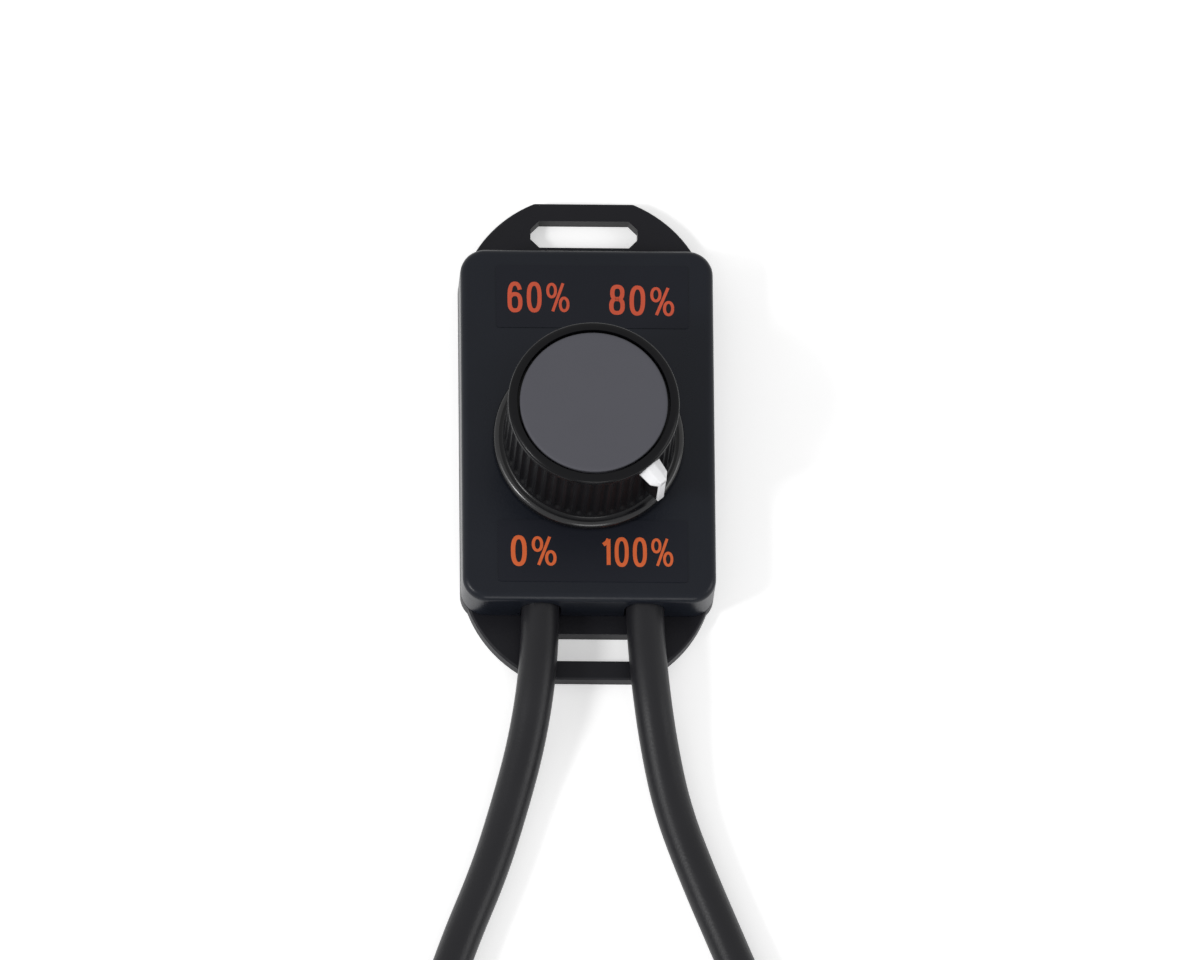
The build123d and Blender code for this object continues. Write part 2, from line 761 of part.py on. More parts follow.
# Two resistors side by side, each with its leads bent down to the board
with BuildPart() as resistors:
    for column in (resistor_x, resistor_x - resistor_pitch):
        axis_z = board_top + resistor_radius + capacitor_lift
        with BuildSketch(Plane.XZ.offset(-resistor_y - resistor_length / 2)):
            with Locations((column, axis_z)):
                Circle(resistor_radius)
        extrude(amount=resistor_length)
        with BuildLine():
            FilletPolyline(
                (column, resistor_y - resistor_span / 2, board_top),
                (column, resistor_y - resistor_span / 2, axis_z),
                (column, resistor_y + resistor_span / 2, axis_z),
                (column, resistor_y + resistor_span / 2, board_top),
                radius=0.6,
            )
        with BuildSketch(Plane.XY.offset(board_top)):
            with Locations((column, resistor_y - resistor_span / 2)):
                Circle(resistor_lead_radius)
        sweep()
resistors.part.label = "resistors"
export_step(resistors.part, "parts/resistors.step")

# Housing screws: flat heads let into the back plate, at the four corners
with BuildPart() as housing_screws:
    with BuildSketch(Plane.XY.offset(screw_sink)):
        with Locations(boss_points):
            Circle(screw_radius)
    extrude(amount=screw_length)
    with Locations([(x, y, screw_sink) for x, y in boss_points]):
        Cone(
            screw_head_radius,
            screw_radius,
            screw_head_height,
            align=(Align.CENTER, Align.CENTER, Align.MIN),
        )
    with BuildSketch(Plane.XY.offset(screw_sink)):
        with Locations(boss_points):
            Rectangle(1.3 * screw_head_radius, screw_slot_width)
            Rectangle(screw_slot_width, 1.3 * screw_head_radius)
    extrude(amount=screw_slot_depth, mode=Mode.SUBTRACT)
housing_screws.part.label = "housing_screws"
export_step(housing_screws.part, "parts/housing_screws.step")

# Cable clamp: one bar under both leads, screwed up into the housing
with BuildPart() as cable_clamp:
    with BuildSketch(Plane.XY.offset(clamp_bottom)):
        with Locations((0, clamp_y)):
            RectangleRounded(clamp_length, clamp_width, 1)
    extrude(amount=clamp_top - clamp_bottom)
    with Locations([(x, y, clamp_bottom) for x, y in clamp_points]):
        Cone(
            clamp_head_radius + pilot_gap,
            clamp_screw_radius + pilot_gap,
            clamp_head_height,
            align=(Align.CENTER, Align.CENTER, Align.MIN),
            mode=Mode.SUBTRACT,
        )
    with BuildSketch(Plane.XY.offset(clamp_bottom)):
        with Locations(clamp_points):
            Circle(clamp_screw_radius + pilot_gap)
    extrude(amount=clamp_top - clamp_bottom, mode=Mode.SUBTRACT)
cable_clamp.part.label = "cable_clamp"
export_step(cable_clamp.part, "parts/cable_clamp.step")

with BuildPart() as clamp_screws:
    with BuildSketch(Plane.XY.offset(clamp_bottom)):
        with Locations(clamp_points):
            Circle(clamp_screw_radius)
    extrude(amount=clamp_screw_length)
    with Locations([(x, y, clamp_bottom) for x, y in clamp_points]):
        Cone(
            clamp_head_radius,
            clamp_screw_radius,
            clamp_head_height,
            align=(Align.CENTER, Align.CENTER, Align.MIN),
        )
    with BuildSketch(Plane.XY.offset(clamp_bottom)):
        with Locations(clamp_points):
            Rectangle(1.3 * clamp_head_radius, 0.4)
    extrude(amount=0.4, mode=Mode.SUBTRACT)
clamp_screws.part.label = "clamp_screws"
export_step(clamp_screws.part, "parts/clamp_screws.step")

# Labels: two thin plates on the face, above and below the knob
with BuildPart() as upper_label:
    with BuildSketch(Plane.XY.offset(face_height)):
        with Locations((upper_label_x, upper_label_y)):
            RectangleRounded(upper_label_width, upper_label_height, label_corner)
    extrude(amount=label_thickness)
upper_label.part.label = "upper_label"
export_step(upper_label.part, "parts/upper_label.step")

with BuildPart() as lower_label:
    with BuildSketch(Plane.XY.offset(face_height)):
        with Locations((lower_label_x, lower_label_y)):
            RectangleRounded(lower_label_width, lower_label_height, label_corner)
    extrude(amount=label_thickness)
lower_label.part.label = "lower_label"
export_step(lower_label.part, "parts/lower_label.step")

# Internal wires: two cores from each lead, turned down onto the board
wire_start_y = near_wall_y + cable_inside
wire_pad_y = board_y - board_length / 2 + pad_row
with BuildPart() as input_wires:
    for core_x in (input_cable_x - core_offset, input_cable_x + core_offset):
        with BuildLine():
            FilletPolyline(
                (core_x, wire_start_y, cable_z),
                (core_x, wire_pad_y, cable_z),
                (core_x, wire_pad_y, board_top),
                radius=2.0,
            )
        with BuildSketch(Plane.XZ.offset(-wire_start_y)):
            with Locations((core_x, cable_z)):
                Circle(core_radius)
        sweep()
input_wires.part.label = "input_wires"
export_step(input_wires.part, "parts/input_wires.step")

with BuildPart() as output_wires:
    for core_x in (output_cable_x - core_offset, output_cable_x + core_offset):
        with BuildLine():
            FilletPolyline(
                (core_x, wire_start_y, cable_z),
                (core_x, wire_pad_y, cable_z),
                (core_x, wire_pad_y, board_top),
                radius=2.0,
            )
        with BuildSketch(Plane.XZ.offset(-wire_start_y)):
            with Locations((core_x, cable_z)):
                Circle(core_radius)
        sweep()
output_wires.part.label = "output_wires"
export_step(output_wires.part, "parts/output_wires.step")

# Leads: round cables from inside the housing, over the near ear and down to the table
lower_z = coil_lift + cable_radius
upper_z = lower_z + 2 * cable_radius + layer_gap
entry = math.radians(coil_entry)
entry_x = coil_radius * math.cos(entry)
entry_y = coil_y + coil_radius * math.sin(entry)
lead_x = entry_x - lead_in * math.sin(entry)
lead_y = entry_y + lead_in * math.cos(entry)
table_z = cable_radius

input_route = [
    (input_cable_x, wire_start_y, cable_z),
    (input_cable_x, -31.0, cable_z),
    (-8.3, -42.0, 5.9),
    (-10.0, -52.0, 4.3),
    (-12.7, -62.0, 3.1),
    (-15.9, -72.5, table_z),
    (-20.8, -84.5, table_z),
    (-24.9, -97.0, 3.1),
    (-27.1, -110.0, 3.4),
    (-lead_x, lead_y, lower_z),
    (-entry_x, entry_y, lower_z),
]
with BuildPart() as input_cable:
    with BuildLine():
        FilletPolyline(*input_route, radius=bend_radii(input_route))
    with BuildSketch(Plane.XZ.offset(-wire_start_y)):
        with Locations((input_cable_x, cable_z)):
            Circle(cable_radius)
    sweep()
input_cable.part.label = "input_cable"
export_step(input_cable.part, "parts/input_cable.step")
check_lead("input_cable", input_cable.part, input_route, bend_radii(input_route))

output_route = [
    (output_cable_x, wire_start_y, cable_z),
    (output_cable_x, -31.0, cable_z),
    (9.6, -42.0, 5.9),
    (11.0, -52.0, 4.3),
    (13.1, -62.0, 3.1),
    (16.8, -72.5, table_z),
    (21.6, -84.5, table_z),
    (26.3, -96.5, 3.7),
    (28.6, -108.0, 6.4),
    (29.6, -118.5, 9.0),
    (lead_x, lead_y, upper_z),
    (entry_x, entry_y, upper_z),
]
with BuildPart() as output_cable:
    with BuildLine():
        FilletPolyline(*output_route, radius=bend_radii(output_route))
    with BuildSketch(Plane.XZ.offset(-wire_start_y)):
        with Locations((output_cable_x, cable_z)):
            Circle(cable_radius)
    sweep()
output_cable.part.label = "output_cable"
export_step(output_cable.part, "parts/output_cable.step")
check_lead("output_cable", output_cable.part, output_route, bend_radii(output_route))

# Coil of each lead: most of one turn, the input lead below and the output lead on it
coil_axis = Axis((0, coil_y, 0), (0, 0, 1))
input_end = 180 - coil_entry + coil_turn
output_end = coil_entry - coil_turn
with BuildPart() as input_cable_coil:
    with BuildSketch(upright_plane((0, coil_y, lower_z), 180 - coil_entry)):
        with Locations((coil_radius, 0)):
            Circle(cable_radius)
    revolve(axis=coil_axis, revolution_arc=coil_turn)
input_cable_coil.part.label = "input_cable_coil"
export_step(input_cable_coil.part, "parts/input_cable_coil.step")

with BuildPart() as output_cable_coil:
    with BuildSketch(upright_plane((0, coil_y, upper_z), output_end)):
        with Locations((coil_radius, 0)):
            Circle(cable_radius)
    revolve(axis=coil_axis, revolution_arc=coil_turn)
output_cable_coil.part.label = "output_cable_coil"
export_step(output_cable_coil.part, "parts/output_cable_coil.step")

# Bare ends: two cores that go on along each coil, with a crimped ferrule on each
core_radii = (coil_radius - core_offset, coil_radius + core_offset)
with BuildPart() as input_cores:
    with BuildSketch(upright_plane((0, coil_y, lower_z), input_end)):
        with Locations([(radius, 0) for radius in core_radii]):
            Circle(core_radius)
    revolve(axis=coil_axis, revolution_arc=core_turn)
input_cores.part.label = "input_cores"
export_step(input_cores.part, "parts/input_cores.step")

with BuildPart() as output_cores:
    with BuildSketch(upright_plane((0, coil_y, upper_z), output_end - core_turn)):
        with Locations([(radius, 0) for radius in core_radii]):
            Circle(core_radius)
    revolve(axis=coil_axis, revolution_arc=core_turn)
output_cores.part.label = "output_cores"
export_step(output_cores.part, "parts/output_cores.step")

with BuildPart() as core_ferrules:
    with BuildSketch(upright_plane((0, coil_y, lower_z), input_end + core_turn)):
        with Locations([(radius, 0) for radius in core_radii]):
            Circle(core_tip_radius)
    extrude(amount=-core_tip_length)
    with BuildSketch(upright_plane((0, coil_y, upper_z), output_end - core_turn)):
        with Locations([(radius, 0) for radius in core_radii]):
            Circle(core_tip_radius)
    extrude(amount=core_tip_length)
core_ferrules.part.label = "core_ferrules"
export_step(core_ferrules.part, "parts/core_ferrules.step")

# Tie round both coils at the side away from the box, with its twisted end turned inwards
tie_y = coil_y - coil_radius
tie_z = (lower_z + upper_z) / 2
tie_inner_width = 2 * (cable_radius + tie_gap)
tie_inner_height = upper_z - lower_z + tie_inner_width
with BuildPart() as coil_tie:
    with BuildSketch(Plane.YZ):
        with Locations((tie_y, tie_z)):
            SlotOverall(
                tie_inner_height + 2 * tie_thickness,
                tie_inner_width + 2 * tie_thickness,
                rotation=90,
            )
            SlotOverall(tie_inner_height, tie_inner_width, rotation=90, mode=Mode.SUBTRACT)
    extrude(amount=tie_width / 2, both=True)
    with BuildSketch(Plane.XZ.offset(-tie_y - tie_inner_width / 2 - tie_thickness / 2)):
        with Locations((0, tie_z)):
            Circle(tie_tail_radius)
    extrude(amount=-tie_tail_length)
coil_tie.part.label = "coil_tie"
export_step(coil_tie.part, "parts/coil_tie.step")
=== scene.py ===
# %% [markdown]
# # A light dimmer with a fluted knob
# The dimmer is a flat black box with a fluted knob, two strap ears and two round leads. Its solids come
# from the CAD model, and this lesson dresses them: it sets up the picture, lays the leads, models the
# pieces that the eye rests on, and gives each one its finish. It could all be modelled afresh, but the
# solids already have the right sizes, so only what their plain meshes lack is made here. All lengths
# below are in millimetres and are turned into metres by one factor.

# %% Load the frame
import bpy
import bmesh
import math
from mathutils import Matrix, Vector


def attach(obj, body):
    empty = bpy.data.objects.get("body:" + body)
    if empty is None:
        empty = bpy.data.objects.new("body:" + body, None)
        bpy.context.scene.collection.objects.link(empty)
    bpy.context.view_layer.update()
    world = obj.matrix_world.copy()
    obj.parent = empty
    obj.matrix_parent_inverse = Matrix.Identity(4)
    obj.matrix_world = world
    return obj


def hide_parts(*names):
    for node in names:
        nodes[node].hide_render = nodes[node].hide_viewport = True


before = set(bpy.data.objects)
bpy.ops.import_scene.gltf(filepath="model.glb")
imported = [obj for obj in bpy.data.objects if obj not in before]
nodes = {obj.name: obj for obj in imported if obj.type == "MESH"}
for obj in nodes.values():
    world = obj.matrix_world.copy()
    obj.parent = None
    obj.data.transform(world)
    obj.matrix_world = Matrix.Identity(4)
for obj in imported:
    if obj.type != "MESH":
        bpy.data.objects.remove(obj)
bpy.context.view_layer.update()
scene = bpy.context.scene
scene.view_settings.view_transform = "Standard"
MM = 0.001

# %% [markdown]
# ## Camera
# The photograph was taken from far away with a long lens, about 20 degrees off straight above, so
# parallel edges stay parallel. A camera can be turned by hand until the picture fits, but that is slow
# and never quite right. This one is built from three directions, right, up and back, which were fitted
# to the corners of the box. A long lens far away copies the photograph better than a close one.

# %% Camera
camera_data = bpy.data.cameras.new("camera")
camera = bpy.data.objects.new("camera", camera_data)
scene.collection.objects.link(camera)
scene.camera = camera

right = Vector((0.9988, -0.0089, 0.0488)).normalized()
up = Vector((0.0, 0.9396, 0.3422))
up = (up - up.dot(right) * right).normalized()
back = right.cross(up)
aim = Vector((2.3, -5.7, 0.0)) * MM
camera_distance = 4.0
pixels_per_mm = 6.327
camera_data.sensor_width = 36.0
camera_data.lens = pixels_per_mm * camera_distance * 1000 * 36.0 / 1200
camera_data.clip_end = 50.0
turn = Matrix((right, up, back)).transposed().to_4x4()
camera.matrix_world = Matrix.Translation(aim + back * camera_distance) @ turn
print("lens", round(camera_data.lens, 1))

# %% [markdown]
# ## Shader maths as plain sums
# A material is a net of nodes. It could be wired by hand, one link at a time, but that is slow to read
# when every piece has its own. So a small class wraps one output socket and lets `a * b + 1` add the
# Math nodes, and one method adds any other node. Places are given in millimetres from the origin.

# %% Values
class Value:
    """One output socket of a finish, which can be added, multiplied and compared."""

    def __init__(self, finish, socket):
        self.finish = finish
        self.socket = socket

    def math(self, operation, *others):
        inputs = dict(enumerate((self, *others)))
        return self.finish.node("ShaderNodeMath", {"operation": operation}, inputs)

    def __add__(self, other):
        return self.math("ADD", other)

    def __sub__(self, other):
        return self.math("SUBTRACT", other)

    def __rsub__(self, other):
        return self.finish.node("ShaderNodeMath", {"operation": "SUBTRACT"}, {0: other, 1: self})

    def __mul__(self, other):
        return self.math("MULTIPLY", other)

    def __gt__(self, other):
        return self.math("GREATER_THAN", other)

    __radd__ = __add__
    __rmul__ = __mul__


# %% Finish
class Finish:
    """A material with one Principled shader, built from named sockets."""

    def __init__(self, name):
        self.material = bpy.data.materials.new(name)
        self.material.use_nodes = True
        self.tree = self.material.node_tree
        self.shader = next(n for n in self.tree.nodes if n.type == "BSDF_PRINCIPLED")
        self.place = self.node("ShaderNodeTexCoord", {}, {}, "Object")
        self.x, self.y, self.z = [
            1000 * self.node("ShaderNodeSeparateXYZ", {}, {0: self.place}, axis) for axis in range(3)
        ]

    def node(self, kind, settings, inputs, output=0):
        made = self.tree.nodes.new(kind)
        for key, setting in settings.items():
            setattr(made, key, setting)
        for key, value in inputs.items():
            self.plug(made.inputs[key], value)
        return Value(self, made.outputs[output])

    def plug(self, socket, value):
        if isinstance(value, Value):
            self.tree.links.new(value.socket, socket)
        else:
            socket.default_value = value

    def noise(self, scale, detail=3.0, stretch=(1.0, 1.0, 1.0)):
        place = self.node("ShaderNodeMapping", {}, {"Vector": self.place, "Scale": stretch})
        return self.node("ShaderNodeTexNoise", {}, {"Vector": place, "Scale": scale, "Detail": detail})

    def away(self, x, y):
        """Distance in millimetres from the upright line through x and y."""
        across = self.x - x
        along = self.y - y
        return (across * across + along * along).math("SQRT")

    def mix(self, factor, dark, light):
        settings = {"data_type": "RGBA"}
        return self.node("ShaderNodeMix", settings, {0: factor, 6: dark, 7: light}, 2)

    def bump(self, height, strength, distance):
        inputs = {"Height": height, "Strength": strength, "Distance": distance}
        return self.node("ShaderNodeBump", {}, inputs)

    def set(self, **values):
        for key, value in values.items():
            self.plug(self.shader.inputs[key.replace("_", " ")], value)
        return self.material


# %% Colours
def linear(red, green, blue):
    """A colour as it is read off a screen, 0 to 255, turned into light."""
    parts = [c / 255 for c in (red, green, blue)]
    return tuple(c / 12.92 if c < 0.0405 else ((c + 0.055) / 1.055) ** 2.4 for c in parts) + (1.0,)


print("the cap's grey as light", [round(c, 3) for c in linear(85, 85, 91)])

# %% [markdown]
# ## Moulded plastics
# The box, the plate and the knob are moulded from black plastic. Real mouldings are never quite even:
# spark-eroded moulds leave a fine grain, and handling leaves the gloss a little patchy. Painted textures
# could show that, but they need unwrapped surfaces and pictures. Noise that follows the place needs
# neither: fine noise goes into the bump, and slow noise into the colour and the roughness. Black plastic
# under a white sky looks greyer than it is, so these colours are darker than the photograph's.

# %% Moulded plastic
def moulded(name, dark, light, gloss, grain, level=0.3):
    """Moulded plastic: a grain, a slow mottle, and a specular level of its own."""
    finish = Finish(name)
    patches = finish.noise(90.0, 4.0)
    fine = finish.noise(2600.0, 2.0)
    color = finish.mix(patches, dark, light)
    rough = gloss + 0.16 * (patches - 0.5) + 0.06 * (fine - 0.5)
    finish.shader.inputs["Specular IOR Level"].default_value = level
    return finish.set(
        Base_Color=color,
        Roughness=rough,
        Normal=finish.bump(fine, grain, 0.00006),
    )


# %% Knob plastic
knob_y = -2.9


def polished_knob():
    """Knob plastic: dull in the flutes, shinier on the skirt, and polished on its crest by fingers."""
    finish = Finish("knob_plastic")
    patches = finish.noise(90.0, 4.0)
    fine = finish.noise(2600.0, 2.0)
    radius = finish.away(0.0, knob_y)
    fluted = (radius > 12.7) * (finish.z > 12.7) * (27.3 - finish.z > 0.0)
    skirt = 12.6 - finish.z > 0.0
    crest = skirt * (radius > 14.25) * (finish.z > 11.2)
    finish.shader.inputs["Specular IOR Level"].default_value = 0.12
    finish.shader.inputs["Coat Roughness"].default_value = 0.2
    return finish.set(
        Base_Color=finish.mix(patches, linear(9, 9, 11), linear(15, 15, 18)),
        Roughness=0.22 + 0.16 * (patches - 0.5) + 0.3 * fluted,
        Coat_Weight=0.15 * skirt + 0.5 * crest,
        Normal=finish.bump(fine, 0.1, 0.00006),
    )


# %% Finishes of the outside
housing_finish = moulded("housing_plastic", linear(18, 21, 28), linear(24, 27, 34), 0.3, 0.35, 0.16)
plate_finish = moulded("plate_plastic", linear(22, 22, 26), linear(29, 29, 33), 0.42, 0.35, 0.12)
knob_finish = polished_knob()
cap_finish = moulded("cap_plastic", linear(79, 79, 85), linear(83, 83, 89), 0.6, 0.15, 0.12)
pointer_finish = moulded("pointer_plastic", linear(226, 226, 228), linear(233, 233, 235), 0.35, 0.1)
label_finish = moulded("label_film", linear(18, 20, 27), linear(24, 26, 33), 0.42, 0.15, 0.14)
jacket_finish = moulded("jacket", linear(21, 21, 24), linear(28, 28, 31), 0.38, 0.5, 0.22)
print("finishes so far", len(bpy.data.materials))

# %% [markdown]
# ## Floor and light
# The photograph has a plain white ground, so the floor is white and the sky behind it too. The light on
# the object stays at a plain level: a dim sky, a soft lamp at each side for the long streaks on the leads,
# and one in front. A small one adds the bright streak on the knob's skirt. Stronger lamps could whiten
# the floor too, but they would bleach the object. So the floor adds a little light of its own, only for
# what looks at it, straight or in a reflection, which makes it white and keeps the shadow.

# %% Floor
bpy.ops.object.select_all(action="DESELECT")
bpy.ops.mesh.primitive_plane_add(size=6.0, location=(0, 0, -0.00005))
floor = bpy.context.object
floor.name = "floor"
floor_finish = Finish("floor_white")
looks = [
    floor_finish.node("ShaderNodeLightPath", {}, {}, ray)
    for ray in ("Is Camera Ray", "Is Glossy Ray", "Is Transmission Ray")
]
looked_at = looks[0].math("MAXIMUM", looks[1]).math("MAXIMUM", looks[2])
glow = floor_finish.mix(looked_at, (0, 0, 0, 1), (1, 1, 1, 1))
floor_finish.shader.inputs["Specular IOR Level"].default_value = 0.0
floor_finish.shader.inputs["Emission Strength"].default_value = 0.38
floor_finish.set(Base_Color=(0.9, 0.9, 0.9, 1), Roughness=0.9, Emission_Color=glow)
floor.data.materials.append(floor_finish.material)
print("floor", [round(size, 2) for size in floor.dimensions])

# %% Sky
world = bpy.data.worlds.new("sky")
scene.world = world
world.use_nodes = True
sky = world.node_tree
light_path = sky.nodes.new("ShaderNodeLightPath")
seen = sky.nodes.new("ShaderNodeMath")
seen.operation = "MAXIMUM"
clear = sky.nodes.new("ShaderNodeMath")
clear.operation = "MAXIMUM"
sky.links.new(light_path.outputs["Is Camera Ray"], seen.inputs[0])
sky.links.new(light_path.outputs["Is Glossy Ray"], seen.inputs[1])
sky.links.new(seen.outputs[0], clear.inputs[0])
sky.links.new(light_path.outputs["Is Transmission Ray"], clear.inputs[1])
strength = sky.nodes.new("ShaderNodeMapRange")
strength.inputs["To Min"].default_value = 0.5
strength.inputs["To Max"].default_value = 1.0
sky.links.new(clear.outputs[0], strength.inputs["Value"])
background = next(n for n in sky.nodes if n.type == "BACKGROUND")
background.inputs["Color"].default_value = (1, 1, 1, 1)
sky.links.new(strength.outputs["Result"], background.inputs["Strength"])
print("sky nodes", len(sky.nodes))


# %% Lamps
def softbox(name, place, size, power):
    """A square soft lamp that looks at the middle of the dimmer."""
    data = bpy.data.lights.new(name, "AREA")
    data.size = size
    data.energy = power
    lamp = bpy.data.objects.new(name, data)
    scene.collection.objects.link(lamp)
    lamp.location = place
    lamp.rotation_euler = (aim - Vector(place)).to_track_quat("-Z", "Y").to_euler()
    print(name, power, "W")


softbox("left_lamp", (-1.3, -0.3, 0.75), 0.7, 4.5)
softbox("right_lamp", (1.3, -0.15, 0.7), 0.7, 5.0)
softbox("near_lamp", (0.1, -1.5, 0.7), 0.7, 6.5)
softbox("glint_lamp", (-0.99, -0.4, 0.92), 0.26, 7.0)

# %% [markdown]
# ## Leads
# Two soft round leads leave the box side by side, pass over the near ear, come down to the table and
# part. They could be swept meshes, but a cord lies in one smooth curve, so each is a single NURBS curve
# with a round bevel, whose control points are the places the lead passes. Moving one point then moves
# the lead as a whole. The length that the photograph doesn't show lies in one turn.

# %% Routes of the leads
cable_radius = 3.0
coil_middle = Vector((0.0, -146.0))
coil_radius = 33.0
coil_turn = 290.0
lower_z, upper_z = 3.5, 9.6
entry = math.radians(10.0)
entry_x = coil_radius * math.cos(entry)
entry_y = coil_middle.y + coil_radius * math.sin(entry)
lead_x = entry_x - 13.0 * math.sin(entry)
lead_y = entry_y + 13.0 * math.cos(entry)

input_route = [
    (-7.5, -21.0, 5.7), (-7.5, -31.0, 5.7), (-8.3, -42.0, 5.9), (-10.0, -52.0, 4.3),
    (-12.7, -62.0, 3.1), (-15.9, -72.5, 3.0), (-20.8, -84.5, 3.0), (-24.9, -97.0, 3.1),
    (-27.1, -110.0, 3.4), (-lead_x, lead_y, lower_z), (-entry_x, entry_y, lower_z),
]
output_route = [
    (8.8, -21.0, 5.7), (8.8, -31.0, 5.7), (9.6, -42.0, 5.9), (11.0, -52.0, 4.3),
    (13.1, -62.0, 3.1), (16.8, -72.5, 3.0), (21.6, -84.5, 3.0), (26.3, -96.5, 3.7),
    (28.6, -108.0, 6.4), (29.6, -118.5, 9.0), (lead_x, lead_y, upper_z), (entry_x, entry_y, upper_z),
]


# %% Turn of the coil
def coil_points(start, turn, height, steps=14):
    """Points round the coil, a little outside the turn, because the curve cuts inside them."""
    reach = coil_radius / math.cos(math.radians(abs(turn) / steps / 2)) ** 0.5
    found = []
    for step in range(1, steps + 1):
        angle = math.radians(start + turn * step / steps)
        out = coil_radius if step == steps else reach
        found.append((out * math.cos(angle), coil_middle.y + out * math.sin(angle), height))
    return found


input_route += coil_points(170.0, coil_turn, lower_z)
output_route += coil_points(10.0, -coil_turn, upper_z)
print("points in the routes", len(input_route), len(output_route))

# %% Leads as curves
def lay_lead(name, route):
    """One smooth curve through the route, thick as the lead."""
    data = bpy.data.curves.new(name, "CURVE")
    data.dimensions = "3D"
    data.bevel_depth = cable_radius * MM
    data.bevel_resolution = 7
    data.use_fill_caps = True
    spline = data.splines.new("NURBS")
    spline.points.add(len(route) - 1)
    for point, (x, y, z) in zip(spline.points, route):
        point.co = (x * MM, y * MM, z * MM, 1.0)
    spline.order_u = 3
    spline.use_endpoint_u = True
    spline.resolution_u = 10
    lead = bpy.data.objects.new(name, data)
    scene.collection.objects.link(lead)
    data.materials.append(jacket_finish)
    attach(lead, "enclosure")
    print(name, "points", len(route))
    return lead


# %% Lay both leads
input_lead = lay_lead("input_lead", input_route)
output_lead = lay_lead("output_lead", output_route)
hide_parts("input_cable", "input_cable_coil")
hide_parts("output_cable", "output_cable_coil")

# %% [markdown]
# ## Working in edit mode
# New pieces are shaped like clay: a primitive, then extrusions, insets and bevels on chosen faces or
# edges. With a mouse one would click those faces. Here one helper adds a primitive, one selects by a
# rule on each element's middle, which still holds when a size changes, and one ends a piece by giving it
# its finish, its body and its place in the model.

# %% Add and select
def fresh(add, name, **settings):
    """Add one primitive with nothing else selected, its place held in its mesh."""
    if bpy.context.mode != "OBJECT":
        bpy.ops.object.mode_set(mode="OBJECT")
    bpy.ops.object.select_all(action="DESELECT")
    add(**settings)
    piece = bpy.context.object
    piece.name = name
    piece.data.name = name
    bpy.ops.object.transform_apply(location=True, rotation=True, scale=True)
    return piece


def pick(piece, kind, rule):
    """In edit mode, select the VERT, EDGE or FACE elements whose middle, in millimetres, fits the rule."""
    bpy.ops.object.mode_set(mode="EDIT")
    bpy.ops.mesh.select_mode(type=kind)
    bpy.ops.mesh.select_all(action="DESELECT")
    mesh = bmesh.from_edit_mesh(piece.data)
    elements = {"VERT": mesh.verts, "EDGE": mesh.edges, "FACE": mesh.faces}[kind]
    found = 0
    for element in elements:
        corners = [element] if kind == "VERT" else element.verts
        middle = sum((corner.co for corner in corners), Vector()) / len(corners) / MM
        if rule(element, middle):
            element.select_set(True)
            found += 1
    mesh.select_flush_mode()
    bmesh.update_edit_mesh(piece.data)
    return found


# %% End a piece
def finished(piece, finish, slot, body, *stands_for, angle=35):
    """Leave edit mode, smooth the piece up to an angle, and say what it is part of."""
    if bpy.context.mode != "OBJECT":
        bpy.ops.object.mode_set(mode="OBJECT")
    bpy.ops.object.select_all(action="DESELECT")
    piece.select_set(True)
    bpy.context.view_layer.objects.active = piece
    bpy.ops.object.shade_smooth_by_angle(angle=math.radians(angle))
    piece.data.materials.clear()
    piece.data.materials.append(finish)
    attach(piece, body)
    if stands_for:
        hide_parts(*stands_for)
    print(piece.name, "faces", len(piece.data.polygons))
    return piece


# %% [markdown]
# ## Knob
# The real knob is one moulding: a round skirt, a straight grip with 48 narrow flutes, and a flat rim
# round the grey cap. The flutes could be cut with 48 small cylinders, but such cuts leave long thin
# faces. Here one circle is extruded ring by ring up the profile, so the faces stay in a tidy grid, and
# each flute needs only its own columns of points drawn in towards the axis, the middle column most.

# %% Knob body
flute_count, columns = 48, 8
profile = [
    (11.4, 24.9), (11.4, 10.65), (14.8, 10.65), (15.02, 10.72), (15.1, 10.95), (15.1, 11.5),
    (15.04, 11.8), (14.87, 12.06), (14.6, 12.24), (14.3, 12.3), (13.95, 12.3), (13.68, 12.4),
    (13.52, 12.65), (13.5, 13.2), (13.5, 13.5), (13.5, 13.8), (13.5, 17.0), (13.5, 22.0), (13.5, 26.3),
    (13.5, 26.6), (13.5, 26.9), (13.5, 27.55), (13.42, 27.78), (13.2, 27.95), (12.6, 28.14),
    (12.2, 28.2), (12.08, 28.17), (12.05, 28.08), (12.05, 26.6),
]
radius, height = profile[0]
knob = fresh(
    bpy.ops.mesh.primitive_circle_add, "knob",
    vertices=flute_count * columns, radius=radius * MM, location=(0, knob_y * MM, height * MM),
    fill_type="NGON",
)
pick(knob, "EDGE", lambda edge, middle: True)
for next_radius, next_height in profile[1:]:
    rise = (0, 0, (next_height - height) * MM)
    bpy.ops.mesh.extrude_edges_move(TRANSFORM_OT_translate={"value": rise})
    ratio = next_radius / radius
    bpy.ops.transform.resize(
        value=(ratio, ratio, 1), center_override=(0, knob_y * MM, next_height * MM)
    )
    radius, height = next_radius, next_height
bpy.ops.mesh.edge_face_add()
print("rings", len(profile), "of", flute_count * columns, "points")

# %% Flutes
levels = {13.5: 0.62, 13.8: 1.0, 17.0: 1.0, 22.0: 1.0, 26.3: 1.0, 26.6: 0.62}
across = {0: 0.5, 1: 0.46, 2: 0.31}


def column_of(middle):
    """Which column of its flute a point stands in, counted from the flute's middle."""
    angle = math.atan2(middle.y - knob_y, middle.x) / (2 * math.pi) * flute_count * columns
    step = round(angle) % columns
    return min(step, columns - step)


